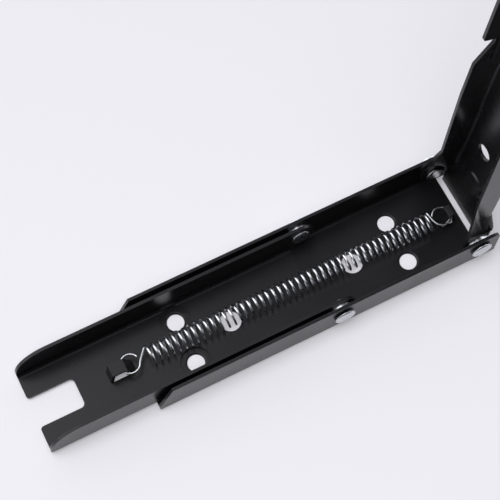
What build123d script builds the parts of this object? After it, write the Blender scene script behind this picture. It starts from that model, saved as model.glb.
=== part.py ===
from build123d import *

import math
import os

# Folding shelf bracket with a self-raising strut and a release lever.
# Frame: mounting face on z = 0, arm hinge axis along Y at x = 0, wall channel along +X, +Z up. Millimetres.
# The arm stands up, the strut lies folded in the wall channel.

# ---- driving dimensions ------------------------------------------------------------------------
SHEET = 1.2  # pressed steel sheet
BEND = 1.2  # inside radius of every fold
FACE_GAP = 0.3  # between sheets that slide past each other
PIN_GAP = 0.05  # radial running clearance on rivets and pins

# wall channel
WALL_WIDTH = 38.0
WALL_LENGTH = 130.5  # hinge axis to the far end
WALL_HEIGHT = 17.4
HINGE_DROP = 5.8  # top of the sides to the hinge axis
EAR_END = 7.6  # sides run on this far before the hinge axis
EAR_CORNER_R = 2.8
FLOOR_SETBACK = 3.0  # floor starts this far before the hinge axis
END_CUT_X = 5.5  # slanted cut at the far end of the sides
END_CUT_Z = 5.0
SCREW_D = 6.5
SCREW_SINK = 0.6  # depth of the eased rim
SCREW_SINK_D = 8.0
SCREW_X = (23.2, 111.5)
SCREW_Y = 8.6
CENTRE_D = 8.0
CENTRE_X = (42.5, 93.3)

# pivots
STRUT_PIVOT_X = 57.0
RIVET_D = 5.0
HEAD_D = 8.2
HEAD_RISE = 1.5
TAIL_D = 7.4
TAIL_RISE = 0.9
WASHER_D = 9.0
WASHER_T = 1.5
WASHER_GAP = 0.05  # each side of a washer

# strut channel
STRUT_REACH = 114.5  # pivot to fork tips
STRUT_TOP_DROP = 0.6  # strut sides end this far under the wall channel's
STRUT_EAR_R = 6.0
STRUT_FLOOR_START = 4.2  # floor begins this far past the pivot
FORK_DEPTH = 17.7
FORK_WIDTH = 11.6
FORK_CORNER_R = 1.8
FORK_TIP_R = 1.2
TIP_R = 13.0
ACCESS_D = 11.6  # driver access over the far screw holes
ACCESS_Y = 8.8
STRUT_CENTRE_D = 8.8

# arm channel
ARM_SIDE_GAP = 2.1  # strut's side to arm's side, room for the rivet tails
ARM_LENGTH = 200.0
ARM_HEIGHT = 12.5
ARM_WEB_OFFSET = 6.6  # hinge axis to the outside of the arm's web
ARM_TONGUE = 9.9  # web runs on this far past the hinge axis
TONGUE_HALF = 15.0
ARM_ANGLE = 92.5
ARM_HOLE_D = 6.7
ARM_HOLES = (34.5, 120.0, 184.0)
ARM_HOLE_Y = -2.3
JOG_START = 5.2  # the sides and the web widen to the hinge ears here, beside the web
JOG_END = 10.2
VALLEY_H = 5.0  # and here, this far down the sides
VALLEY_END = 9.0
FLARE_START = 8.0  # and here, at the free edge
FLARE_END = 31.4
SIDE_DIP = (26.0, 68.0)  # the sides are lowest at the first of these, full height at the second
SIDE_DIP_H = 10.7
SHOULDER_EASE = 1.2
PAD_U = 12.7  # round stiffening pad pressed into the web
PAD_Y = -0.8
PAD_D = 11.4
PAD_RISE = 0.6
ARM_END_CUT = 7.0
NOTCH_RAMP = 10.3  # length of the notch's entry ramp
NOTCH_LAND = 2.0
NOTCH_REST_GAP = 0.25  # strut tip to notch floor
BEAK_LEAN = 1.62
BEAK_DROP = 0.5
BEAK_NOSE = 0.7

# release lever
LEVER_SHEET = 1.0
LEVER_START = 86.5
LEVER_END = 193.0
LEVER_WEB_GAP = 0.4  # under the arm's web
LEVER_SIDE = 6.5  # height of the lever's sides above the arm's outer face
LEVER_BOSS = 3.6  # pin axis to the edge of the lever's sides
LEVER_RAMP_START = 1.0  # past the pin, where the web turns down to the thumb plate
LEVER_RAMP_RUN = 24.0
LEVER_RAMP_DROP = 6.6
LEVER_EAR = 9.0  # sides reach this far past the pin
LEVER_SLOPE = 8.0
LEVER_BEND = 0.6
LEVER_RELIEF = 16.0  # slot over the spring, from the lever's near end
LEVER_RELIEF_GAP = 0.9
LEVER_PIN_U = 140.0
LEVER_PIN_H = 7.4
LEVER_PIN_D = 4.0
LEVER_PIN_HEAD_D = 6.4
LEVER_PIN_HEAD_RISE = 0.9
DRIVER_D = 10.0  # driver access to the arm's screws

# spring
WIRE_D = 0.8
COIL_D = 7.8
COIL_GAP = 0.2  # coil to the strut's floor
RING_R = 3.6  # mean radius of the end rings
RING_X = (4.8, 133.5)
COIL_X = (9.3, 126.3)
TAB_WIDTH = 4.6
TAB_OVER = 2.3  # spring axis to the top of the tabs
TAB_RUN_IN = 3.3  # run of the leg inside the ring
WALL_TAB = (2 * SHEET - 0.2, 1.6)  # flat top that clears the wire, run of the outer leg
STRUT_TAB = (5.7, 1.2)
SEAT_GAP = 0.08  # wire to the tab it pulls on

# ---- derived ------------------------------------------------------------------------------------
HINGE_Z = WALL_HEIGHT - HINGE_DROP
STRUT_Z0 = SHEET
STRUT_TOP = WALL_HEIGHT - STRUT_TOP_DROP
PIVOT_Z = STRUT_TOP - STRUT_EAR_R
STRUT_END = STRUT_PIVOT_X + STRUT_REACH
ARM_TOP = HINGE_Z + ARM_WEB_OFFSET  # outside of the arm's web while folded
ARM_EAR_R = ARM_HEIGHT - ARM_WEB_OFFSET
WALL_IN = WALL_WIDTH / 2 - SHEET
STRUT_WIDTH = 2 * (WALL_IN - WASHER_T - 2 * WASHER_GAP)
ARM_WIDTH = STRUT_WIDTH - 2 * SHEET - 2 * ARM_SIDE_GAP
EAR_OUT = STRUT_WIDTH / 2
HOLE_R = RIVET_D / 2 + PIN_GAP
SPRING_Z = STRUT_Z0 + SHEET + COIL_D / 2 + COIL_GAP
RING_FLAT = TAB_WIDTH / 2 + 0.2  # half of the straight part of each ring
RING_CHORD = math.sqrt(RING_R**2 - RING_FLAT**2)  # ring centre to its straight part
TAB_SEAT = RING_CHORD - WIRE_D / 2 - SEAT_GAP  # ring centre to the tab's bearing face
TAB_TOP_Z = SPRING_Z + TAB_OVER
LEVER_H = SHEET + LEVER_WEB_GAP

# strut tip seated in the arm's notch at the lock angle, in the arm's own u, h
TIP_OFFSET = PIVOT_Z - (STRUT_Z0 + SHEET)
TIP_RADIUS = math.hypot(STRUT_REACH, TIP_OFFSET)
NOTCH_H = 7.5


def notch_root_u():
    """Distance along the arm at which the strut's tip sits when the arm is square to the wall."""
    across = STRUT_PIVOT_X - (NOTCH_H + NOTCH_REST_GAP - ARM_WEB_OFFSET)
    return PIVOT_Z - HINGE_Z + math.sqrt(TIP_RADIUS**2 - across**2) + NOTCH_REST_GAP


# ---- sheet helpers ---------------------------------------------------------------------------------
def channel(x0, x1, width, height, z0):
    """A U of sheet along X, open upwards, with rounded folds."""
    outer = BEND + SHEET
    half = width / 2
    with BuildPart() as u:
        with BuildSketch(Plane.YZ.offset(x0)):
            with Locations((0, z0 + height / 2)):
                Rectangle(width, height)
            with Locations((0, z0 + height / 2 + SHEET)):
                Rectangle(width - 2 * SHEET, height, mode=Mode.SUBTRACT)
        extrude(amount=x1 - x0)
        folds = u.edges().filter_by(Axis.X)
        low = [e for e in folds if abs(e.center().Z - z0) < 1e-4]
        fillet(low, outer)
        folds = u.edges().filter_by(Axis.X)
        inner = [
            e
            for e in folds
            if abs(e.center().Z - z0 - SHEET) < 1e-4
            and abs(abs(e.center().Y) - half + SHEET) < 1e-4
        ]
        fillet(inner, BEND)
    return u.part


def side_profile(wires, half_width):
    """A solid with the side outline given in X, Z, as wide as the piece."""
    with BuildPart() as p:
        with BuildSketch(Plane.XZ.offset(-half_width)):
            with BuildLine():
                wires()
            make_face()
        extrude(amount=2 * half_width)
    return p.part


def cylinder_y(x, z, r, y0, y1):
    """A round bar along Y from y0 to y1."""
    low = min(y0, y1)
    with BuildPart() as p:
        with BuildSketch(Plane.XZ.offset(-low)):
            with Locations((x, z)):
                Circle(r)
        extrude(amount=-abs(y1 - y0))
    return p.part


def cylinder_z(x, y, r, z0, z1):
    """A round bar along Z from z0 to z1."""
    return Pos(x, y, (z0 + z1) / 2) * Cylinder(r, z1 - z0)


def box(x0, x1, y0, y1, z0, z1):
    """A box between two corners."""
    return Pos((x0 + x1) / 2, (y0 + y1) / 2, (z0 + z1) / 2) * Box(x1 - x0, y1 - y0, z1 - z0)


def prism_z(points, z0, z1):
    """A solid with the plan outline given in X, Y, between two heights."""
    with BuildPart() as p:
        with BuildSketch(Plane.XY.offset(z0)):
            with BuildLine():
                Polyline(*points, close=True)
            make_face()
        extrude(amount=z1 - z0)
    return p.part


def prism_y(points, half_width):
    """A solid with the side outline given as points in X, Z, as wide as the piece."""
    with BuildPart() as p:
        with BuildSketch(Plane.XZ.offset(-half_width)):
            with BuildLine():
                Polyline(*points, close=True)
            make_face()
        extrude(amount=2 * half_width)
    return p.part


def between(low_points, z_low, high_points, z_high):
    """A solid with straight rulings from one plan outline to another."""
    with BuildPart() as p:
        for points, z in ((low_points, z_low), (high_points, z_high)):
            with BuildSketch(Plane.XY.offset(z)):
                with BuildLine():
                    Polyline(*points, close=True)
                make_face()
        loft(ruled=True)
    return p.part


# ---- wall channel ---------------------------------------------------------------------------------
def wall_outline():
    """Side view of the wall channel: eased corner at the hinge, slanted at the far end."""
    low = (-EAR_END, 0)
    left = (-EAR_END, WALL_HEIGHT - EAR_CORNER_R)
    top = (-EAR_END + EAR_CORNER_R, WALL_HEIGHT)
    Line(low, left)
    RadiusArc(left, top, EAR_CORNER_R)
    Polyline(
        top,
        (WALL_LENGTH - END_CUT_X, WALL_HEIGHT),
        (WALL_LENGTH, END_CUT_Z),
        (WALL_LENGTH, 0),
        low,
    )


def tab_root(ring_x, floor_top, sense):
    """Place along X where a spring tab's inner leg leaves the floor."""
    rise = TAB_TOP_Z - floor_top
    slope = math.atan2(rise, TAB_RUN_IN)
    to_seat = SHEET / math.sin(slope) + (SPRING_Z - floor_top) / math.tan(slope)
    return ring_x + sense * (TAB_SEAT - to_seat)


def bridge_tab(body, ring_x, floor_top, sense, top, run_out):
    """Presses a bridge up out of a floor, for the spring's ring to hook under."""
    rise = TAB_TOP_Z - floor_top
    inner = SHEET * math.tan(math.atan2(rise, TAB_RUN_IN) / 2)
    outer = SHEET * math.tan(math.atan2(rise, run_out) / 2)
    root = tab_root(ring_x, floor_top, sense)
    reach = TAB_RUN_IN + top + run_out
    floor = floor_top - SHEET
    line = [
        (-1, floor_top),
        (0, floor_top),
        (TAB_RUN_IN, TAB_TOP_Z),
        (TAB_RUN_IN + top, TAB_TOP_Z),
        (reach, floor_top),
        (reach + 1, floor_top),
        (reach + 1, floor),
        (reach - outer, floor),
        (TAB_RUN_IN + top - outer, TAB_TOP_Z - SHEET),
        (TAB_RUN_IN + inner, TAB_TOP_Z - SHEET),
        (inner, floor),
        (-1, floor),
    ]
    ends = sorted((root, root + sense * reach))
    half = TAB_WIDTH / 2
    body -= box(ends[0], ends[1], -half, half, floor - 1, floor_top + 1)
    body += prism_y([(root + sense * t, z) for t, z in line], half)
    return body


def wall_channel():
    """The mounting channel with its screw holes, pivot holes and spring tab."""
    body = channel(-EAR_END, WALL_LENGTH, WALL_WIDTH, WALL_HEIGHT, 0)
    body &= side_profile(wall_outline, WALL_WIDTH / 2 + 1)
    body -= box(-EAR_END - 1, -FLOOR_SETBACK, -WALL_IN + BEND, WALL_IN - BEND, -1, SHEET + 1)
    for x in SCREW_X:
        for y in (-SCREW_Y, SCREW_Y):
            body -= cylinder_z(x, y, SCREW_D / 2, -1, SHEET + 1)
            rim = Cone(SCREW_D / 2, SCREW_SINK_D / 2, SCREW_SINK)
            body -= Pos(x, y, SHEET - SCREW_SINK / 2) * rim
    for x in CENTRE_X:
        body -= cylinder_z(x, 0, CENTRE_D / 2, -1, SHEET + 1)
    body -= cylinder_y(0, HINGE_Z, HOLE_R, -WALL_WIDTH, WALL_WIDTH)
    body -= cylinder_y(STRUT_PIVOT_X, PIVOT_Z, HOLE_R, -WALL_WIDTH, WALL_WIDTH)
    return bridge_tab(body, RING_X[0], SHEET, -1, *WALL_TAB)


# ---- strut ----------------------------------------------------------------------------------------
def strut_outline():
    """Side view of the strut: round ear at the pivot, rounded nose at the fork."""
    x_p = STRUT_PIVOT_X
    r = STRUT_EAR_R
    floor_x = x_p + STRUT_FLOOR_START
    top = (x_p, STRUT_TOP)
    left = (x_p - r, PIVOT_Z)
    knee = (x_p - r * math.cos(math.radians(60)), PIVOT_Z - r * math.sin(math.radians(60)))
    RadiusArc(top, left, -r)
    RadiusArc(left, knee, -r)
    Polyline(knee, (floor_x, STRUT_Z0), (STRUT_END, STRUT_Z0), (STRUT_END, STRUT_TOP - TIP_R))
    RadiusArc((STRUT_END, STRUT_TOP - TIP_R), (STRUT_END - TIP_R, STRUT_TOP), -TIP_R)
    Line((STRUT_END - TIP_R, STRUT_TOP), top)


def strut_channel():
    """The forked strut, folded flat inside the wall channel."""
    x_p = STRUT_PIVOT_X
    top = STRUT_Z0 + SHEET
    body = channel(x_p - STRUT_EAR_R - 1, STRUT_END, STRUT_WIDTH, STRUT_TOP - STRUT_Z0, STRUT_Z0)
    body &= side_profile(strut_outline, STRUT_WIDTH / 2 + 1)
    inner = STRUT_WIDTH / 2 - SHEET
    body -= box(x_p - STRUT_EAR_R - 2, x_p + STRUT_FLOOR_START, -inner, inner, -1, top + BEND)
    with BuildPart() as fork:
        with BuildSketch():
            with Locations((STRUT_END, 0)):
                RectangleRounded(2 * FORK_DEPTH, FORK_WIDTH, FORK_CORNER_R)
        extrude(amount=top + 1)
    body -= fork.part
    tips = [
        e
        for e in body.edges()
        if abs(e.center().X - STRUT_END) < 1e-3
        and abs(abs(e.center().Y) - FORK_WIDTH / 2) < 1e-3
    ]
    body = fillet(tips, FORK_TIP_R)
    for y in (-ACCESS_Y, ACCESS_Y):
        body -= cylinder_z(SCREW_X[1], y, ACCESS_D / 2, 0, top + 1.0)
    body -= cylinder_z(CENTRE_X[1], 0, STRUT_CENTRE_D / 2, 0, top + 1)
    body -= cylinder_y(x_p, PIVOT_Z, HOLE_R, -WALL_WIDTH, WALL_WIDTH)
    return bridge_tab(body, RING_X[1], top, 1, *STRUT_TAB)


# ---- arm ------------------------------------------------------------------------------------------
def notch_points():
    """Outline of the notch that the fork drops into, in u, h, from its ramp to its beak."""
    root = notch_root_u()
    beak_h = ARM_HEIGHT - BEAK_DROP
    return [
        (root - NOTCH_LAND - NOTCH_RAMP, ARM_HEIGHT + 1.0),
        (root - NOTCH_LAND - NOTCH_RAMP, ARM_HEIGHT),
        (root - NOTCH_LAND, NOTCH_H),
        (root, NOTCH_H),
        (root + BEAK_LEAN, beak_h),
        (root + BEAK_LEAN + BEAK_NOSE, ARM_HEIGHT),
        (root + BEAK_LEAN + BEAK_NOSE, ARM_HEIGHT + 1.0),
    ]


def flare_plan(start, end, sign):
    """Plan of one arm side as it widens to its hinge ear between the two places along the arm."""
    narrow = ARM_WIDTH / 2
    shift = SHEET * math.tan(math.atan2(EAR_OUT - narrow, end - start) / 2)
    points = [
        (JOG_START - 1, EAR_OUT),
        (start, EAR_OUT),
        (end, narrow),
        (FLARE_END + 1, narrow),
        (FLARE_END + 1, narrow - SHEET),
        (end - shift, narrow - SHEET),
        (start - shift, EAR_OUT - SHEET),
        (JOG_START - 1, EAR_OUT - SHEET),
    ]
    return [(u, sign * y) for u, y in points]


def shoulder_plan(inset):
    """Plan of the web where it widens, its slanted sides drawn in by the inset."""
    half = (ARM_WIDTH / 2 - inset, EAR_OUT - inset)
    return [
        (JOG_START, half[1]),
        (JOG_END, half[0]),
        (JOG_END, -half[0]),
        (JOG_START, -half[1]),
    ]


def arm_shoulder():
    """The web and its two folds where the arm widens to the hinge ears."""
    eased = ARM_TOP - SHOULDER_EASE
    fold = ARM_TOP - SHEET - BEND
    body = prism_z(shoulder_plan(0), fold, eased)
    body += between(shoulder_plan(0), eased, shoulder_plan(SHOULDER_EASE), ARM_TOP)
    shift = SHEET * math.tan(math.atan2(EAR_OUT - ARM_WIDTH / 2, JOG_END - JOG_START) / 2)
    hollow = [
        (JOG_START - 1, EAR_OUT - SHEET),
        (JOG_START - shift, EAR_OUT - SHEET),
        (JOG_END - shift, ARM_WIDTH / 2 - SHEET),
        (JOG_END + 1, ARM_WIDTH / 2 - SHEET),
    ]
    hollow += [(u, -y) for u, y in reversed(hollow)]
    return body - prism_z(hollow, fold - 1, ARM_TOP - SHEET)


def arm_channel_folded():
    """The arm as it lies when folded: web on top, sides hanging down, ears at the hinge."""
    low = ARM_TOP - ARM_HEIGHT
    fold = ARM_TOP - SHEET - BEND
    narrow = channel(JOG_END, ARM_LENGTH, ARM_WIDTH, ARM_HEIGHT, -ARM_TOP).mirror(Plane.XY)
    narrow -= box(JOG_END - 1, FLARE_END, -ARM_WIDTH, ARM_WIDTH, low - 1, fold)
    wide = channel(-ARM_TONGUE, JOG_START, 2 * EAR_OUT, ARM_HEIGHT, -ARM_TOP)
    body = narrow + wide.mirror(Plane.XY) + arm_shoulder()
    for sign in (-1, 1):
        free_edge = flare_plan(FLARE_START, FLARE_END, sign)
        valley = flare_plan(JOG_START, VALLEY_END, sign)
        at_fold = flare_plan(JOG_START, JOG_END, sign)
        body += between(free_edge, low, valley, ARM_TOP - VALLEY_H)
        body += between(valley, ARM_TOP - VALLEY_H, at_fold, fold)
    return body


def pressed_pad(body):
    """Presses the round pad into the arm's web, proud on the inside and hollow outside."""
    r = PAD_D / 2
    proud = Cone(r - PAD_RISE, r, PAD_RISE)
    hollow = Cone(r - SHEET - PAD_RISE, r - SHEET, PAD_RISE)
    body += Pos(PAD_U, PAD_Y, ARM_TOP - SHEET - PAD_RISE / 2) * proud
    return body - Pos(PAD_U, PAD_Y, ARM_TOP - PAD_RISE / 2) * hollow


def arm_side_outline():
    """Side view of the folded arm: round ear at the hinge, dipping sides, slanted far end."""
    low = ARM_TOP - ARM_HEIGHT
    z_h = HINGE_Z
    r = ARM_EAR_R
    end = ARM_LENGTH - ARM_END_CUT
    Polyline((0, low), (SIDE_DIP[0], ARM_TOP - SIDE_DIP_H), (SIDE_DIP[1], low), (end, low))
    Polyline((end, low), (ARM_LENGTH, low + ARM_END_CUT), (ARM_LENGTH, ARM_TOP))
    Polyline((ARM_LENGTH, ARM_TOP), (-ARM_TONGUE, ARM_TOP), (-ARM_TONGUE, ARM_TOP - SHEET))
    Polyline((-ARM_TONGUE, ARM_TOP - SHEET), (-r, ARM_TOP - SHEET), (-r, z_h))
    RadiusArc((-r, z_h), (0, z_h - r), -r)


def support_arm():
    """The arm channel at its standing angle."""
    body = arm_channel_folded()
    body &= side_profile(arm_side_outline, WALL_WIDTH / 2)
    for sign in (-1, 1):
        edges = sorted((sign * TONGUE_HALF, sign * WALL_WIDTH))
        body -= box(-ARM_TONGUE - 1, -ARM_EAR_R, *edges, 0, ARM_TOP + 1)
    body -= prism_y([(u, ARM_TOP - h) for u, h in notch_points()], WALL_WIDTH / 2)
    body = pressed_pad(body)
    for u in ARM_HOLES:
        body -= cylinder_z(u, ARM_HOLE_Y, ARM_HOLE_D / 2, ARM_TOP - SHEET - 1, ARM_TOP + 1)
    body -= cylinder_y(0, HINGE_Z, HOLE_R, -WALL_WIDTH, WALL_WIDTH)
    pin_r = LEVER_PIN_D / 2 + PIN_GAP
    body -= cylinder_y(LEVER_PIN_U, ARM_TOP - LEVER_PIN_H, pin_r, -WALL_WIDTH, WALL_WIDTH)
    return body


# ---- release lever --------------------------------------------------------------------------------
def lever_shell(half):
    """The lever's channel section, from its near end to the end of its ears."""
    depth = 2 * LEVER_SIDE
    t = LEVER_SHEET
    with BuildPart() as u:
        with BuildSketch(Plane.YZ.offset(LEVER_START)):
            with Locations((0, -LEVER_H - depth / 2)):
                Rectangle(2 * half, depth)
            with Locations((0, -LEVER_H - depth / 2 - t)):
                Rectangle(2 * (half - t), depth, mode=Mode.SUBTRACT)
        extrude(amount=LEVER_PIN_U + LEVER_EAR - LEVER_START)
        lines = u.edges().filter_by(Axis.X)
        fillet([e for e in lines if abs(e.center().Z + LEVER_H) < 1e-4], LEVER_BEND + t)
        lines = u.edges().filter_by(Axis.X)
        inside = [
            e
            for e in lines
            if abs(e.center().Z + LEVER_H + t) < 1e-4
            and abs(abs(e.center().Y) - half + t) < 1e-4
        ]
        fillet(inside, LEVER_BEND)
    return Pos(0, 0, ARM_TOP) * u.part


def lever_folded():
    """The release lever inside the arm: a small channel with a thumb plate at its outer end."""
    half = ARM_WIDTH / 2 - SHEET - FACE_GAP
    t = LEVER_SHEET
    h0 = LEVER_H
    turn = LEVER_PIN_U + LEVER_RAMP_START
    plate = turn + LEVER_RAMP_RUN
    h1 = h0 + LEVER_RAMP_DROP
    lean = t * math.tan(math.atan2(LEVER_RAMP_DROP, LEVER_RAMP_RUN) / 2)
    web = [
        (LEVER_START, h0),
        (turn, h0),
        (plate, h1),
        (LEVER_END, h1),
        (LEVER_END, h1 + t),
        (plate - lean, h1 + t),
        (turn - lean, h0 + t),
        (LEVER_START, h0 + t),
    ]
    ear = LEVER_PIN_U + LEVER_EAR
    ear_h = h0 + (ear - turn) * LEVER_RAMP_DROP / LEVER_RAMP_RUN
    edge = LEVER_PIN_H + LEVER_BOSS
    side = [
        (LEVER_START, h0),
        (turn, h0),
        (ear, ear_h),
        (ear, LEVER_PIN_H),
        (LEVER_PIN_U + LEVER_BOSS, edge),
        (LEVER_PIN_U - LEVER_BOSS, edge),
        (LEVER_PIN_U - LEVER_BOSS - LEVER_SLOPE, LEVER_SIDE),
        (LEVER_START, LEVER_SIDE),
    ]
    body = prism_y([(u, ARM_TOP - h) for u, h in web], half - LEVER_BEND - t)
    body += lever_shell(half) & prism_y([(u, ARM_TOP - h) for u, h in side], half + 1)
    relief = COIL_D / 2 + LEVER_RELIEF_GAP
    body -= box(LEVER_START - 1, LEVER_START + LEVER_RELIEF, -relief, relief, 0, ARM_TOP)
    for u in ARM_HOLES[1:]:
        body -= cylinder_z(u, ARM_HOLE_Y, DRIVER_D / 2, ARM_TOP - ARM_HEIGHT, ARM_TOP)
    pin_r = LEVER_PIN_D / 2 + PIN_GAP
    body -= cylinder_y(LEVER_PIN_U, ARM_TOP - LEVER_PIN_H, pin_r, -WALL_WIDTH, WALL_WIDTH)
    return body


def lever_pin_folded():
    """The pin through the arm's sides that the release lever rocks on."""
    z = ARM_TOP - LEVER_PIN_H
    half = ARM_WIDTH / 2
    end = half + LEVER_PIN_HEAD_RISE
    pin = cylinder_y(LEVER_PIN_U, z, LEVER_PIN_D / 2, -end, end)
    for sign in (-1, 1):
        pin += cylinder_y(LEVER_PIN_U, z, LEVER_PIN_HEAD_D / 2, sign * half, sign * end)
    return pin


# ---- rivets and washers -----------------------------------------------------------------------------
def rivet(x, z, sign, inner):
    """A short rivet from a domed head outside the wall channel to a tail on the inner face given."""
    out = WALL_WIDTH / 2
    dome_r = (HEAD_RISE**2 + (HEAD_D / 2) ** 2) / (2 * HEAD_RISE)
    dome = Pos(0, out + HEAD_RISE - dome_r, 0) * Sphere(dome_r)
    head = cylinder_y(0, 0, HEAD_D / 2 - 0.1, out, out + HEAD_RISE + 1) & dome
    body = cylinder_y(0, 0, RIVET_D / 2, inner - TAIL_RISE / 2, out + HEAD_RISE / 2) + head
    tail = cylinder_y(0, 0, TAIL_D / 2, inner - TAIL_RISE, inner)
    rim = [e for e in tail.edges() if abs(e.center().Y - inner + TAIL_RISE) < 1e-4]
    body += fillet(rim, TAIL_RISE * 0.6)
    if sign < 0:
        body = body.mirror(Plane.XZ)
    return Pos(x, 0, z) * body


def washer(x, z, sign):
    """A washer between the wall channel's side and the side of the strut or the arm."""
    y0 = STRUT_WIDTH / 2 + WASHER_GAP
    y1 = y0 + WASHER_T
    ring = cylinder_y(x, z, WASHER_D / 2, sign * y0, sign * y1)
    return ring - cylinder_y(x, z, HOLE_R, -WALL_WIDTH, WALL_WIDTH)


# ---- spring ------------------------------------------------------------------------------------------
def spring_ring(x, sense):
    """One end ring, lying flat, with a straight part where it bears on its tab."""
    gap = math.degrees(math.asin(RING_FLAT / RING_R))
    arc = Torus(RING_R, WIRE_D / 2, major_angle=360 - 2 * gap)
    turn = gap if sense > 0 else 180 + gap
    flat_x = x + sense * RING_CHORD
    bar = cylinder_y(flat_x, SPRING_Z, WIRE_D / 2, -RING_FLAT - 0.15, RING_FLAT + 0.15)
    return Pos(x, 0, SPRING_Z) * Rot(0, 0, turn) * arc + bar


def extension_spring():
    """The coil body with a flat ring at each end, stretched between the two tabs."""
    mid = sum(COIL_X) / 2
    length = COIL_X[1] - COIL_X[0]
    turn = Rot(0, 90, 0)
    body = Pos(mid, 0, SPRING_Z) * turn * Cylinder(COIL_D / 2, length)
    body -= Pos(mid, 0, SPRING_Z) * turn * Cylinder(COIL_D / 2 - WIRE_D, length + 2)
    for x, end in zip(RING_X, COIL_X):
        inward = 1 if end > x else -1
        body += spring_ring(x, -inward)
        x0 = x + inward * RING_R
        body += Pos((x0 + end) / 2, 0, SPRING_Z) * turn * Cylinder(WIRE_D / 2, abs(end - x0) + 0.6)
        body += Pos(end, 0, SPRING_Z) * Box(WIRE_D, COIL_D - WIRE_D, WIRE_D)
    return body


def stand_up(shape):
    """Turns a piece of the folded arm about the hinge to the standing angle."""
    return shape.rotate(Axis((0, 0, HINGE_Z), (0, -1, 0)), ARM_ANGLE)


def main():
    """Builds every piece and writes one STEP file for each."""
    os.makedirs("parts", exist_ok=True)
    pieces = {
        "wall_channel": wall_channel(),
        "strut_channel": strut_channel(),
        "support_arm": stand_up(support_arm()),
        "release_lever": stand_up(lever_folded()),
        "lever_pin": stand_up(lever_pin_folded()),
        "extension_spring": extension_spring(),
    }
    for name, sign in (("near", 1), ("far", -1)):
        pieces[f"hinge_rivet_{name}"] = rivet(0, HINGE_Z, sign, EAR_OUT - SHEET)
        pieces[f"strut_rivet_{name}"] = rivet(
            STRUT_PIVOT_X, PIVOT_Z, sign, STRUT_WIDTH / 2 - SHEET
        )
        pieces[f"hinge_washer_{name}"] = washer(0, HINGE_Z, sign)
        pieces[f"strut_washer_{name}"] = washer(STRUT_PIVOT_X, PIVOT_Z, sign)
    for name, shape in pieces.items():
        export_step(shape, f"parts/{name}.step")


main()
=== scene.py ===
"""Folding shelf bracket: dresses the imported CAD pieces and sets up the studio."""

import logging
import math
from dataclasses import dataclass, field
from enum import Enum

import bmesh
import bpy
from mathutils import Matrix, Vector


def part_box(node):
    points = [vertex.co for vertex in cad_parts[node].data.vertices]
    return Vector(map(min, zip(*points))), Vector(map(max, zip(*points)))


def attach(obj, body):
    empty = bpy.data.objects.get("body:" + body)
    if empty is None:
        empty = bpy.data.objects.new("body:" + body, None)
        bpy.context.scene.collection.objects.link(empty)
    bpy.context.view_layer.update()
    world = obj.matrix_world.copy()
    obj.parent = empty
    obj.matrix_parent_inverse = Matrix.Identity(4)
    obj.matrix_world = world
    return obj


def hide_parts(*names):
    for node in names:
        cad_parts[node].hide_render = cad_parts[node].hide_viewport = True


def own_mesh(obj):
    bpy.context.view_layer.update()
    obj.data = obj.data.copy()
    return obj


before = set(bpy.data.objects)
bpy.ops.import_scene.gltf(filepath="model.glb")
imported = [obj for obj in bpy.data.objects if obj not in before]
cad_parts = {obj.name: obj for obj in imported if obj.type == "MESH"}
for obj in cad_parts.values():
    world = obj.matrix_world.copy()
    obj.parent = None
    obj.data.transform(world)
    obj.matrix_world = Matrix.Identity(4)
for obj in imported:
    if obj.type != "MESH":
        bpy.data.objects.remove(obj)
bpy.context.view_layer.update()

MM = 0.001
MERGE = 0.002 * MM  # corners nearer than this are one corner
NOISE_SPAN = (0.3, 0.7)  # a noise pattern keeps mostly between these
FACE_WEIGHT = 100  # the largest weight, so that big flat faces keep their own shading
LOG = logging.getLogger("bracket")

Node = bpy.types.Node
Socket = bpy.types.NodeSocket
Tree = bpy.types.NodeTree


class Side(Enum):
    """The two sides of the bracket, by the sign of their place on the hinge axis."""

    NEAR = 1
    FAR = -1

    @property
    def word(self) -> str:
        """The side's word in a piece's name."""
        return self.name.lower()


# ---- colours and nodes --------------------------------------------------------------------------


def linear(code: str) -> tuple[float, float, float, float]:
    """Turns an sRGB hex colour to the linear colour that a shader takes.

    Args:
        code: the colour, such as "#1a1b1d".

    Returns:
        Red, green, blue and an alpha of 1.
    """
    parts = [int(code[i : i + 2], 16) / 255 for i in (1, 3, 5)]
    flat = [c / 12.92 if c <= 0.04045 else ((c + 0.055) / 1.055) ** 2.4 for c in parts]
    return (flat[0], flat[1], flat[2], 1.0)


def add_node(
    tree: Tree,
    kind: str,
    links: dict[str | int, object] | None = None,
    values: dict[str | int, object] | None = None,
    **settings: object,
) -> Node:
    """Adds one node with its settings, socket values and incoming links.

    Args:
        tree: the node tree to add to.
        kind: the node's type name.
        links: output sockets to join, by the name or index of the input they feed.
        values: constants for inputs, by name or index.
        settings: the node's own properties.

    Returns:
        The new node.
    """
    node = tree.nodes.new(kind)
    for name, value in settings.items():
        setattr(node, name, value)
    for name, value in (values or {}).items():
        node.inputs[name].default_value = value
    for name, socket in (links or {}).items():
        tree.links.new(socket, node.inputs[name])
    return node


def empty_material(name: str) -> tuple[bpy.types.Material, Tree]:
    """A new node material with nothing in it but its output.

    Args:
        name: the material's name.

    Returns:
        The material and its node tree.
    """
    material = bpy.data.materials.new(name)
    material.use_nodes = True
    material.node_tree.nodes.clear()
    return material, material.node_tree


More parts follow.
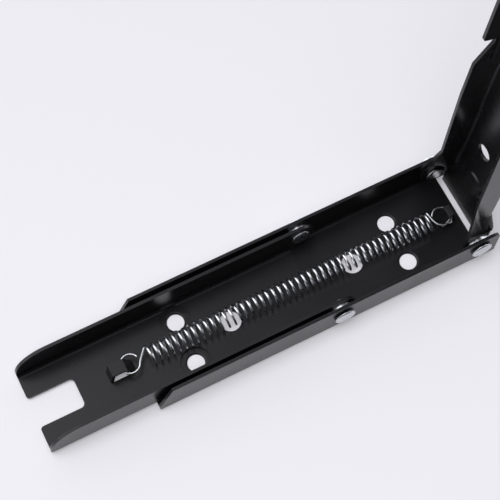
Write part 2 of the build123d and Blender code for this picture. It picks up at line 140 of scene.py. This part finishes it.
@dataclass(frozen=True)
class BlackPaint:
    """Stoved black enamel on pressed steel: deep black, softly mirroring, faint orange peel."""

    name: str = "black_paint"
    colour: str = "#111113"
    thin: str = "#161618"  # where the enamel lies thinner
    roughness: float = 0.27
    glossier: float = 0.03  # how far the gloss changes up
    duller: float = 0.04  # and down
    ior: float = 1.38
    cloud_mm: float = 24.0  # width of the slow changes in gloss
    cloud_detail: float = 3.0
    peel_mm: float = 1.6  # width of the orange peel's waves
    peel_detail: float = 1.5
    peel_depth_mm: float = 0.006
    peel_strength: float = 0.3

    def make(self) -> bpy.types.Material:
        """Builds the material.

        Returns:
            The new material.
        """
        material, tree = empty_material(self.name)
        place = add_node(tree, "ShaderNodeTexCoord")
        # the dip leaves slow clouds of thicker and thinner enamel, seen as changes in gloss
        cloud = add_node(
            tree,
            "ShaderNodeTexNoise",
            {"Vector": place.outputs["Object"]},
            {"Scale": 1 / (self.cloud_mm * MM), "Detail": self.cloud_detail},
        )
        tint = add_node(
            tree,
            "ShaderNodeMix",
            {"Factor": cloud.outputs["Fac"]},
            {6: linear(self.colour), 7: linear(self.thin)},  # A and B of the colour mix
            data_type="RGBA",
        )
        gloss = add_node(
            tree,
            "ShaderNodeMapRange",
            {"Value": cloud.outputs["Fac"]},
            {
                "From Min": NOISE_SPAN[0],
                "From Max": NOISE_SPAN[1],
                "To Min": self.roughness - self.glossier,
                "To Max": self.roughness + self.duller,
            },
        )
        # stoving draws the enamel into a fine peel that breaks up the edges of reflections
        peel = add_node(
            tree,
            "ShaderNodeTexNoise",
            {"Vector": place.outputs["Object"]},
            {"Scale": 1 / (self.peel_mm * MM), "Detail": self.peel_detail},
        )
        bump = add_node(
            tree,
            "ShaderNodeBump",
            {"Height": peel.outputs["Fac"]},
            {"Strength": self.peel_strength, "Distance": self.peel_depth_mm * MM},
        )
        shader = add_node(
            tree,
            "ShaderNodeBsdfPrincipled",
            {
                "Base Color": tint.outputs[2],
                "Roughness": gloss.outputs["Result"],
                "Normal": bump.outputs["Normal"],
            },
            {"IOR": self.ior},
        )
        add_node(tree, "ShaderNodeOutputMaterial", {"Surface": shader.outputs["BSDF"]})
        return material


@dataclass(frozen=True)
class ZincPlate:
    """Bright zinc plate on a turned or upset steel part: pale grey metal with a soft sheen."""

    name: str = "zinc_plate"
    colour: str = "#d9dadd"
    dull: str = "#b9bbc0"
    roughness: float = 0.24
    glossier: float = 0.06
    duller: float = 0.08
    spot_mm: float = 1.8  # size of the plate's dull spots
    spot_detail: float = 2.0

    def make(self) -> bpy.types.Material:
        """Builds the material.

        Returns:
            The new material.
        """
        material, tree = empty_material(self.name)
        place = add_node(tree, "ShaderNodeTexCoord")
        # the bath leaves small patches where the plate is less bright
        spots = add_node(
            tree,
            "ShaderNodeTexNoise",
            {"Vector": place.outputs["Object"]},
            {"Scale": 1 / (self.spot_mm * MM), "Detail": self.spot_detail},
        )
        tint = add_node(
            tree,
            "ShaderNodeMix",
            {"Factor": spots.outputs["Fac"]},
            {6: linear(self.colour), 7: linear(self.dull)},  # A and B of the colour mix
            data_type="RGBA",
        )
        gloss = add_node(
            tree,
            "ShaderNodeMapRange",
            {"Value": spots.outputs["Fac"]},
            {
                "From Min": NOISE_SPAN[0],
                "From Max": NOISE_SPAN[1],
                "To Min": self.roughness - self.glossier,
                "To Max": self.roughness + self.duller,
            },
        )
        shader = add_node(
            tree,
            "ShaderNodeBsdfPrincipled",
            {"Base Color": tint.outputs[2], "Roughness": gloss.outputs["Result"]},
            {"Metallic": 1.0},
        )
        add_node(tree, "ShaderNodeOutputMaterial", {"Surface": shader.outputs["BSDF"]})
        return material


# ---- geometry helpers ---------------------------------------------------------------------------


def set_input(modifier: bpy.types.NodesModifier, name: str, value: object) -> None:
    """Sets a modifier's input by its socket's identifier.

    Args:
        modifier: the Geometry Nodes modifier.
        name: the input's name in the tree.
        value: the value to give it.
    """
    for item in modifier.node_group.interface.items_tree:
        if item.item_type == "SOCKET" and item.in_out == "INPUT" and item.name == name:
            modifier[item.identifier] = value
            return
    raise KeyError(name)


def new_tree(
    name: str, sizes: dict[str, float], counts: dict[str, int]
) -> tuple[Tree, Node]:
    """A Geometry Nodes tree with a geometry in and out and named sizes and counts.

    Args:
        name: the tree's name.
        sizes: lengths in metres, by input name.
        counts: whole numbers, by input name.

    Returns:
        The tree and its Group Input node.
    """
    tree = bpy.data.node_groups.new(name, "GeometryNodeTree")
    tree.interface.new_socket("Geometry", in_out="INPUT", socket_type="NodeSocketGeometry")
    for label, value in sizes.items():
        socket = tree.interface.new_socket(label, in_out="INPUT", socket_type="NodeSocketFloat")
        socket.default_value = value
    for label, value in counts.items():
        socket = tree.interface.new_socket(label, in_out="INPUT", socket_type="NodeSocketInt")
        socket.default_value = value
    tree.interface.new_socket("Material", in_out="INPUT", socket_type="NodeSocketMaterial")
    tree.interface.new_socket("Geometry", in_out="OUTPUT", socket_type="NodeSocketGeometry")
    return tree, tree.nodes.new("NodeGroupInput")


def close_tree(tree: Tree, source: Node, mesh: Socket) -> None:
    """Ends a tree in smooth shading, Realize Instances and Set Material.

    Args:
        tree: the tree to end.
        source: its Group Input node.
        mesh: the socket that holds the finished mesh.
    """
    smooth = add_node(tree, "GeometryNodeSetShadeSmooth", {"Geometry": mesh})
    real = add_node(tree, "GeometryNodeRealizeInstances", {"Geometry": smooth.outputs[0]})
    paint = add_node(
        tree,
        "GeometryNodeSetMaterial",
        {"Geometry": real.outputs[0], "Material": source.outputs["Material"]},
    )
    add_node(tree, "NodeGroupOutput", {"Geometry": paint.outputs[0]})


def lathe_tree() -> Tree:
    """A tree that turns an outline, given as radius and height, round an upright axis.

    Returns:
        The tree, with the inputs Core (radius of the axis) and Steps.
    """
    tree, source = new_tree("lathe", {"Core": 0.05 * MM}, {"Steps": 48})
    ring = add_node(
        tree,
        "GeometryNodeCurvePrimitiveCircle",
        {"Resolution": source.outputs["Steps"], "Radius": source.outputs["Core"]},
        mode="RADIUS",
    )
    turned = add_node(
        tree,
        "GeometryNodeCurveToMesh",
        {"Curve": ring.outputs[0], "Profile Curve": source.outputs["Geometry"]},
    )
    merged = add_node(
        tree,
        "GeometryNodeMergeByDistance",
        {"Geometry": turned.outputs[0]},
        {"Distance": MERGE},
    )
    close_tree(tree, source, merged.outputs[0])
    return tree


def wire_tree() -> Tree:
    """A tree that sweeps round wire along a path.

    Returns:
        The tree, with the inputs Wire radius and Sides.
    """
    tree, source = new_tree("wire", {"Wire radius": 0.4 * MM}, {"Sides": 10})
    section = add_node(
        tree,
        "GeometryNodeCurvePrimitiveCircle",
        {"Resolution": source.outputs["Sides"], "Radius": source.outputs["Wire radius"]},
        mode="RADIUS",
    )
    swept = add_node(
        tree,
        "GeometryNodeCurveToMesh",
        {"Curve": source.outputs["Geometry"], "Profile Curve": section.outputs[0]},
        {"Fill Caps": True},
    )
    close_tree(tree, source, swept.outputs[0])
    return tree


def polyline(name: str, points: list[Vector]) -> bpy.types.Object:
    """A curve object of straight pieces through the points.

    Args:
        name: the object's name.
        points: its points, in metres.

    Returns:
        The object, linked to the scene.
    """
    curve = bpy.data.curves.new(name, "CURVE")
    curve.dimensions = "3D"
    spline = curve.splines.new("POLY")
    spline.points.add(len(points) - 1)
    for place, point in zip(spline.points, points):
        place.co = (point[0], point[1], point[2], 1.0)
    made = bpy.data.objects.new(name, curve)
    bpy.context.collection.objects.link(made)
    return made


def baked(path: bpy.types.Object, tree: Tree, name: str, **inputs: object) -> bpy.types.Object:
    """Runs a tree on a curve and keeps the result as a plain mesh.

    Args:
        path: the curve that the tree works on; it is removed afterwards.
        tree: the Geometry Nodes tree.
        name: the new piece's name.
        inputs: values for the tree's inputs, with spaces in their names as underscores.

    Returns:
        The new mesh object.
    """
    modifier = path.modifiers.new(tree.name, "NODES")
    modifier.node_group = tree
    for label, value in inputs.items():
        set_input(modifier, label.replace("_", " "), value)
    evaluated = path.evaluated_get(bpy.context.evaluated_depsgraph_get())
    mesh = bpy.data.meshes.new_from_object(evaluated)
    mesh.name = name
    made = bpy.data.objects.new(name, mesh)
    bpy.context.collection.objects.link(made)
    bpy.data.objects.remove(path)
    return made


def stand_up(mesh: bpy.types.Mesh, slack_mm: float = 0.5) -> None:
    """Mirrors a turned piece that hangs under its own start, so that it rises along Z."""
    if min(v.co.z for v in mesh.vertices) < -slack_mm * MM:
        mesh.transform(Matrix.Scale(-1, 4, Vector((0, 0, 1))))


def face_out(mesh: bpy.types.Mesh) -> None:
    """Merges doubled corners and turns every face outwards.

    Args:
        mesh: the mesh to mend, in place.
    """
    work = bmesh.new()
    work.from_mesh(mesh)
    bmesh.ops.remove_doubles(work, verts=work.verts, dist=MERGE)
    bmesh.ops.recalc_face_normals(work, faces=work.faces)
    work.to_mesh(mesh)
    work.free()


def softened(
    node: str, width_mm: float, segments: int = 2, flat: float = 0.5, corner: float = 40.0
) -> bpy.types.Object:
    """A copy of a CAD node with its corners eased, in the CAD node's place.

    Args:
        node: the CAD node's name.
        width_mm: width of the eased corner.
        segments: steps across it.
        flat: faces that meet at less than this many degrees become one.
        corner: degrees from which an edge is eased.

    Returns:
        The new piece, which stands for the node.
    """
    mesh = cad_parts[node].data.copy()
    mesh.name = node
    work = bmesh.new()
    work.from_mesh(mesh)
    bmesh.ops.remove_doubles(work, verts=work.verts, dist=MERGE)
    bmesh.ops.dissolve_limit(
        work,
        angle_limit=math.radians(flat),
        verts=work.verts,
        edges=work.edges,
        delimit=set(),
    )
    work.to_mesh(mesh)
    work.free()
    mesh.materials.clear()
    piece = bpy.data.objects.new(node + "_painted", mesh)
    bpy.context.collection.objects.link(piece)
    bevel = piece.modifiers.new("eased corners", "BEVEL")
    bevel.width = width_mm * MM
    bevel.segments = segments
    bevel.limit_method = "ANGLE"
    bevel.angle_limit = math.radians(corner)
    for face in mesh.polygons:
        face.use_smooth = True
    weighted = piece.modifiers.new("flat faces stay flat", "WEIGHTED_NORMAL")
    weighted.mode = "FACE_AREA"
    weighted.weight = FACE_WEIGHT
    evaluated = piece.evaluated_get(bpy.context.evaluated_depsgraph_get())
    solid = bpy.data.meshes.new_from_object(evaluated)
    solid.name = node
    piece.modifiers.clear()
    piece.data = solid
    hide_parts(node)
    return piece


def dress(piece: bpy.types.Object, material: bpy.types.Material, body: str) -> None:
    """Gives a piece its finish, its body and its material slot, and reports it.

    Args:
        piece: the piece.
        material: its finish.
        body: the CAD body it rides on.
    """
    piece.data.materials.clear()
    piece.data.materials.append(material)
    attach(piece, body)
    LOG.info("%s: %d faces on %s", piece.name, len(piece.data.polygons), body)


# ---- pieces -------------------------------------------------------------------------------------


@dataclass
class SheetParts:
    """The four pressed sheet pieces: wall channel, strut, arm and release lever."""

    paint: bpy.types.Material
    ease_mm: float = 0.3
    ease_steps: int = 3
    tab_node: str = "wall_channel"
    tab_ends_mm: tuple[float, float] = (3.0, 0.8)  # inner and outer end of the tab's top, along X
    tab_low_mm: float = 7.3  # the top lies above this
    tab_half_mm: float = 2.36
    tab_rise_mm: float = 0.35
    tab_reach: tuple[float, float] = (-0.2, 1.2)  # shares of the top's run that are lifted
    pieces: dict[str, str] = field(
        default_factory=lambda: {
            "wall_channel": "wall",
            "strut_channel": "strut",
            "support_arm": "arm",
            "release_lever": "lever",
        }
    )

    def tilt_tab(self, mesh: bpy.types.Mesh) -> None:
        """Lets the top of the spring tab rise a little towards its outer end, as pressed tabs do.

        Args:
            mesh: the wall channel's mesh.
        """
        inner, outer = self.tab_ends_mm
        low, high = self.tab_reach
        for corner in mesh.vertices:
            across, height = abs(corner.co.y) / MM, corner.co.z / MM
            share = (corner.co.x / MM - inner) / (outer - inner)
            on_tab = height > self.tab_low_mm and across < self.tab_half_mm
            if on_tab and low < share < high:
                corner.co.z += max(0.0, share) * self.tab_rise_mm * MM

    def build(self) -> None:
        """Eases and paints each sheet piece."""
        for node, body in self.pieces.items():
            piece = softened(node, self.ease_mm, self.ease_steps)
            if node == self.tab_node:
                self.tilt_tab(piece.data)
            dress(piece, self.paint, body)


@dataclass
class Rivets:
    """The four pivot rivets, with a flat button head outside and an upset tail inside."""

    plate: bpy.types.Material
    tree: Tree
    shank_mm: float = 2.5
    head_mm: float = 4.0
    head_rise_mm: float = 1.5
    tail_mm: float = 3.7
    tail_rise_mm: float = 0.9
    rim_mm: float = 0.9  # upright edge of the head
    seat_ease_mm: float = 0.1  # ease of the edge that the head sits on
    flat_share: float = 0.86  # share of the head's radius that is flat
    tail_round: float = 0.6  # share of the tail's rise that is rounded
    tail_steps: int = 5
    dish_mm: float = 2.0  # radius of the punch's mark
    arc_steps: int = 10
    turned_steps: int = 72
    dishes: dict[str, tuple[float, float]] = field(
        default_factory=lambda: {"hinge": (0.0, 0.42), "strut": (0.4, 0.0)}
    )

    def dished(self, level: float, depth: float) -> list[Vector]:
        """Radius and height across a shallow dish, from its middle to its rim.

        Args:
            level: height of the dish's rim, in metres.
            depth: how far its middle lies above the rim, in metres; negative for a dish in a top.

        Returns:
            The dish's points.
        """
        points = []
        for step in range(self.arc_steps + 1):
            share = step / self.arc_steps
            height = level + depth * (1 + math.cos(math.pi * share)) / 2
            points.append(Vector((self.dish_mm * MM * share, height, 0)))
        return points

    def outline(self, length: float, outer: float, dishes: tuple[float, float]) -> list[Vector]:
        """Radius and height of the rivet's outline, from the tail's middle to the head's top.

        Args:
            length: the rivet's whole length, in metres.
            outer: height of the head's seat above the tail's end, in metres.
            dishes: depth of the punch's mark in the tail and in the head, in millimetres.

        Returns:
            The outline's points.
        """
        shank, head = self.shank_mm * MM, self.head_mm * MM
        tail, rise = self.tail_mm * MM, self.tail_rise_mm * MM
        curl = rise * self.tail_round
        points = self.dished(0, dishes[0] * MM)
        points.append(Vector((tail - curl, 0, 0)))
        for step in range(1, self.tail_steps + 1):
            turn = math.radians(90 * step / self.tail_steps)
            radius = tail - curl + curl * math.sin(turn)
            points.append(Vector((radius, curl - curl * math.cos(turn), 0)))
        seat, rim = head - self.seat_ease_mm * MM, outer + self.rim_mm * MM
        corners = ((tail, rise), (shank, rise), (shank, outer), (seat, outer), (head, rim))
        points += [Vector((radius, height, 0)) for radius, height in corners]
        flat = head * self.flat_share
        for step in range(1, self.arc_steps + 1):
            turn = math.radians(90 * step / self.arc_steps)
            radius = flat + (head - flat) * math.cos(turn)
            points.append(Vector((radius, length - (length - rim) * (1 - math.sin(turn)), 0)))
        points += self.dished(length, -dishes[1] * MM)[::-1]
        return points

    def build(self) -> None:
        """Turns each rivet between its own CAD node's ends."""
        for pivot in ("hinge", "strut"):
            for side in Side:
                node = f"{pivot}_rivet_{side.word}"
                low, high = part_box(node)
                length = high.y - low.y
                outer = length - self.head_rise_mm * MM
                path = polyline(node + "_outline", self.outline(length, outer, self.dishes[pivot]))
                name = node + "_plated"
                piece = baked(path, self.tree, name, Material=self.plate, Steps=self.turned_steps)
                stand_up(piece.data)
                middle = (low + high) / 2
                start = low.y if side is Side.NEAR else high.y
                turn = Matrix.Rotation(math.radians(-90 * side.value), 4, "X")
                piece.data.transform(Matrix.Translation((middle.x, start, middle.z)) @ turn)
                face_out(piece.data)
                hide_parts(node)
                dress(piece, self.plate, "wall")


@dataclass
class PlatedTrim:
    """The washers between the channels' sides and the lever's cross pin, all plated."""

    plate: bpy.types.Material
    ease_mm: float = 0.12
    pieces: dict[str, str] = field(
        default_factory=lambda: {
            "hinge_washer_near": "wall",
            "hinge_washer_far": "wall",
            "strut_washer_near": "wall",
            "strut_washer_far": "wall",
            "lever_pin": "arm",
        }
    )

    def build(self) -> None:
        """Eases and plates each piece."""
        for node, body in self.pieces.items():
            dress(softened(node, self.ease_mm), self.plate, body)


@dataclass
class TensionSpring:
    """The extension spring: one wire with a ring at each end and a stretched coil between."""

    wire: bpy.types.Material
    tree: Tree
    wire_mm: float = 0.8
    sides: int = 10
    coil_mm: float = 7.8
    ring_mm: float = 3.6  # mean radius of the end rings
    ring_steps: int = 56
    seat_mm: float = 2.99  # spring's end to the middle of the end ring
    hook_mm: float = 2.75  # how far the ring bows out under the tab
    hook_ease_mm: float = 0.6  # how softly it turns into that bow
    near_lead_mm: float = 7.5  # spring's end to the first turn, at the wall channel
    far_lead_mm: float = 10.2  # and at the strut
    turns: int = 47
    steps: int = 24  # points in a turn
    ring_start: float = 24.0  # degrees round each ring where the coil's lead joins it
    ring_end: float = 336.0  # and where the wire is cut
    lead_fall_mm: float = 1.6  # how hard the lead still dives as it leaves the coil
    lead_sweep_mm: float = 5.0  # how straight it runs on into the ring
    lead_steps: int = 12
    open_angle: float = 0.5548  # share of its length that the spring keeps with the strut open

    def ring(self, centre: float, sense: int) -> list[Vector]:
        """One end ring in plan, from its side nearest the coil round the tab to its cut end.

        Args:
            centre: place of the ring's middle along X, in metres.
            sense: 1 if the coil lies towards +X, otherwise -1.

        Returns:
            The ring's points, at height 0.
        """
        radius = self.ring_mm * MM
        turn = self.ring_end - self.ring_start
        hook, ease = self.hook_mm * MM, self.hook_ease_mm * MM
        points = []
        for step in range(self.ring_steps + 1):
            angle = math.radians(self.ring_start + turn * step / self.ring_steps)
            out = -radius * math.cos(angle)
            near = max(0.0, 1 - abs(out - hook) / ease)
            out = min(out, hook) - near**2 * ease / 4
            points.append(Vector((centre - sense * out, radius * math.sin(angle), 0)))
        return points

    def join(self, start: Vector, way: Vector, end: Vector, way_end: Vector) -> list[Vector]:
        """A smooth run of wire between two points, leaving out both of them.

        Args:
            start: the first point.
            way: the wire's direction there, as long as the bend is wide.
            end: the last point.
            way_end: its direction there.

        Returns:
            The points between.
        """
        points = []
        for step in range(1, self.lead_steps):
            t = step / self.lead_steps
            a, b = 2 * t**3 - 3 * t**2 + 1, t**3 - 2 * t**2 + t
            c, d = -2 * t**3 + 3 * t**2, t**3 - t**2
            points.append(a * start + b * way + c * end + d * way_end)
        return points

    def path(self) -> list[Vector]:
        """The wire's route: ring at the wall channel, coil, ring at the strut.

        Returns:
            The route's points, in metres.
        """
        low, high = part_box("extension_spring")
        height = Vector((0, 0, (low.z + high.z) / 2))
        seat = self.seat_mm * MM
        wall_ring = self.ring(low.x + seat, 1)
        strut_ring = self.ring(high.x - seat, -1)
        radius = (self.coil_mm - self.wire_mm) / 2 * MM
        start, end = low.x + self.near_lead_mm * MM, high.x - self.far_lead_mm * MM
        count = self.turns * self.steps
        coil = []
        for step in range(count + 1):
            turn = 2 * math.pi * step / self.steps
            along = start + (end - start) * step / count
            coil.append(Vector((along, -radius * math.cos(turn), -radius * math.sin(turn))))
        dive = Vector((0, 0, -self.lead_fall_mm * MM))
        into = (strut_ring[1] - strut_ring[0]).normalized() * self.lead_sweep_mm * MM
        out_of = (wall_ring[0] - wall_ring[1]).normalized() * self.lead_sweep_mm * MM
        enter = self.join(wall_ring[0], out_of, coil[0], dive)
        leave = self.join(coil[-1], dive, strut_ring[0], into)
        route = wall_ring[::-1] + enter + coil + leave + strut_ring
        return [point + height for point in route]

    def build(self) -> None:
        """Sweeps the wire along its route and puts it on the spring's body."""
        route = polyline("spring_route", self.path())
        piece = baked(
            route,
            self.tree,
            "spring_coiled",
            Material=self.wire,
            Wire_radius=self.wire_mm / 2 * MM,
            Sides=self.sides,
        )
        face_out(piece.data)
        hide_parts("extension_spring")
        dress(piece, self.wire, "spring")
        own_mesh(piece)


@dataclass
class Studio:
    """Pale floor, soft light and the camera."""

    focal_px: float = 1333.8
    azimuth: float = 61.08
    elevation: float = 68.24
    roll: float = 2.2
    shift_mm: tuple[float, float] = (-22.51, 12.64)
    distance_mm: float = 496.43
    target_mm: tuple[float, float, float] = (60.0, 0.0, 0.0)
    frame_px: int = 500
    sensor_mm: float = 36.0
    clip_m: tuple[float, float] = (0.01, 20.0)
    floor_m: float = 6.0
    floor_colour: str = "#eeedf3"
    floor_glow: float = 0.2
    lamp_place: tuple[float, float, float] = (0.3, 0.1, 1.15)
    lamp_aim: tuple[float, float, float] = (0.06, 0.0, 0.02)
    lamp_size: float = 0.9
    lamp_power: float = 13.0
    sky_colour: str = "#f4f4f8"
    sky_light: float = 0.5  # what the soft boxes give to matte surfaces
    mirror_light: float = 2.2  # and how bright they are in gloss and metal
    gap_side: tuple[float, float, float] = (-0.36, -0.27, 0.89)  # the gap between the soft boxes
    gap_angles: tuple[float, float] = (13.0, 21.0)  # degrees from its middle to its two edges
    gap_light: float = 0.15
    room_y: tuple[float, float] = (-0.12, 0.4)  # where the boxes give way to the dark room
    room_dark: float = 0.02

    def camera(self) -> None:
        """Places the camera at the viewing angle."""
        az, el, roll = (math.radians(a) for a in (self.azimuth, self.elevation, self.roll))
        back = Vector((math.cos(el) * math.cos(az), math.cos(el) * math.sin(az), math.sin(el)))
        right = Vector((0, 0, 1)).cross(back).normalized()
        up = back.cross(right)
        c, s = math.cos(roll), math.sin(roll)
        right, up = c * right + s * up, -s * right + c * up
        place = Vector(self.target_mm) + right * self.shift_mm[0] + up * self.shift_mm[1]
        place += back * self.distance_mm
        data = bpy.data.cameras.new("camera")
        data.sensor_width = self.sensor_mm
        data.lens = self.focal_px / self.frame_px * self.sensor_mm
        data.clip_start, data.clip_end = self.clip_m
        made = bpy.data.objects.new("camera", data)
        axes = Matrix((right, up, back)).transposed().to_4x4()
        made.matrix_world = Matrix.Translation(place * MM) @ axes
        bpy.context.collection.objects.link(made)
        bpy.context.scene.camera = made

    def floor(self) -> None:
        """A pale floor that shows its own colour and still takes the object's shadow."""
        material, tree = empty_material("pale_floor")
        colour = linear(self.floor_colour)
        matte = add_node(tree, "ShaderNodeBsdfDiffuse", values={"Color": colour})
        glow = add_node(tree, "ShaderNodeEmission", values={"Color": colour, "Strength": 1.0})
        path = add_node(tree, "ShaderNodeLightPath")
        seen = path.outputs["Is Camera Ray"]
        for ray in ("Is Glossy Ray", "Is Transmission Ray"):
            either = add_node(tree, "ShaderNodeMath", operation="MAXIMUM")
            tree.links.new(seen, either.inputs[0])
            tree.links.new(path.outputs[ray], either.inputs[1])
            seen = either.outputs[0]
        share = add_node(tree, "ShaderNodeMath", operation="MULTIPLY")
        tree.links.new(seen, share.inputs[0])
        share.inputs[1].default_value = self.floor_glow
        mixed = add_node(tree, "ShaderNodeMixShader", {"Fac": share.outputs[0]})
        tree.links.new(matte.outputs[0], mixed.inputs[1])
        tree.links.new(glow.outputs[0], mixed.inputs[2])
        add_node(tree, "ShaderNodeOutputMaterial", {"Surface": mixed.outputs[0]})
        half = self.floor_m / 2
        mesh = bpy.data.meshes.new("floor")
        corners = [(-half, -half, 0), (half, -half, 0), (half, half, 0), (-half, half, 0)]
        mesh.from_pydata(corners, [], [(0, 1, 2, 3)])
        mesh.materials.append(material)
        made = bpy.data.objects.new("floor", mesh)
        bpy.context.collection.objects.link(made)

    def lamp(self) -> None:
        """A square soft lamp overhead, which lights the bracket but isn't mirrored in it."""
        data = bpy.data.lights.new("ceiling", "AREA")
        data.shape = "SQUARE"
        data.size = self.lamp_size
        data.energy = self.lamp_power
        made = bpy.data.objects.new("ceiling", data)
        aim = Vector(self.lamp_aim) - Vector(self.lamp_place)
        made.rotation_euler = aim.to_track_quat("-Z", "Y").to_euler()
        made.location = self.lamp_place
        made.visible_glossy = False
        bpy.context.collection.objects.link(made)

    def world(self) -> None:
        """Soft boxes all round, but for a gap between two and a dark room on the near side."""
        sky = bpy.data.worlds.new("studio")
        bpy.context.scene.world = sky
        sky.use_nodes = True
        tree = sky.node_tree
        tree.nodes.clear()
        way = add_node(tree, "ShaderNodeTexCoord")
        split = add_node(tree, "ShaderNodeSeparateXYZ", {"Vector": way.outputs["Generated"]})
        toward = add_node(
            tree,
            "ShaderNodeVectorMath",
            {0: way.outputs["Generated"]},
            {1: Vector(self.gap_side).normalized()},
            operation="DOT_PRODUCT",
        )
        path = add_node(tree, "ShaderNodeLightPath")
        near, far = (math.cos(math.radians(a)) for a in self.gap_angles)
        # each factor: what it follows, the span in which it changes, and its two levels
        factors = (
            (toward.outputs["Value"], (far, near), (1.0, self.gap_light)),
            (split.outputs["Y"], self.room_y, (1.0, self.room_dark)),
            (path.outputs["Is Glossy Ray"], (0.0, 1.0), (self.sky_light, self.mirror_light)),
        )
        level: Socket | None = None
        for follows, span, levels in factors:
            ramp = add_node(
                tree,
                "ShaderNodeMapRange",
                {"Value": follows},
                {
                    "From Min": span[0],
                    "From Max": span[1],
                    "To Min": levels[0],
                    "To Max": levels[1],
                },
                interpolation_type="SMOOTHSTEP",
            )
            if level is None:
                level = ramp.outputs["Result"]
                continue
            both = {0: level, 1: ramp.outputs["Result"]}
            level = add_node(tree, "ShaderNodeMath", both, operation="MULTIPLY").outputs[0]
        light = add_node(
            tree,
            "ShaderNodeBackground",
            {"Strength": level},
            {"Color": linear(self.sky_colour)},
        )
        add_node(tree, "ShaderNodeOutputWorld", {"Surface": light.outputs[0]})

    def build(self) -> None:
        """Sets up floor, world, lamp and camera."""
        bpy.context.scene.view_settings.view_transform = "Standard"
        self.floor()
        self.world()
        self.lamp()
        self.camera()


def main() -> None:
    """Builds the bracket's pieces and the studio."""
    logging.basicConfig(level=logging.INFO, format="%(message)s")
    paint = BlackPaint().make()
    plate = ZincPlate().make()
    wire = ZincPlate(name="nickel_wire", colour="#f0f1f4", dull="#dfe0e4", roughness=0.27).make()
    lathe, sweep = lathe_tree(), wire_tree()
    SheetParts(paint).build()
    Rivets(plate, lathe).build()
    PlatedTrim(plate).build()
    TensionSpring(wire, sweep).build()
    Studio().build()


if __name__ == "__main__":
    main()
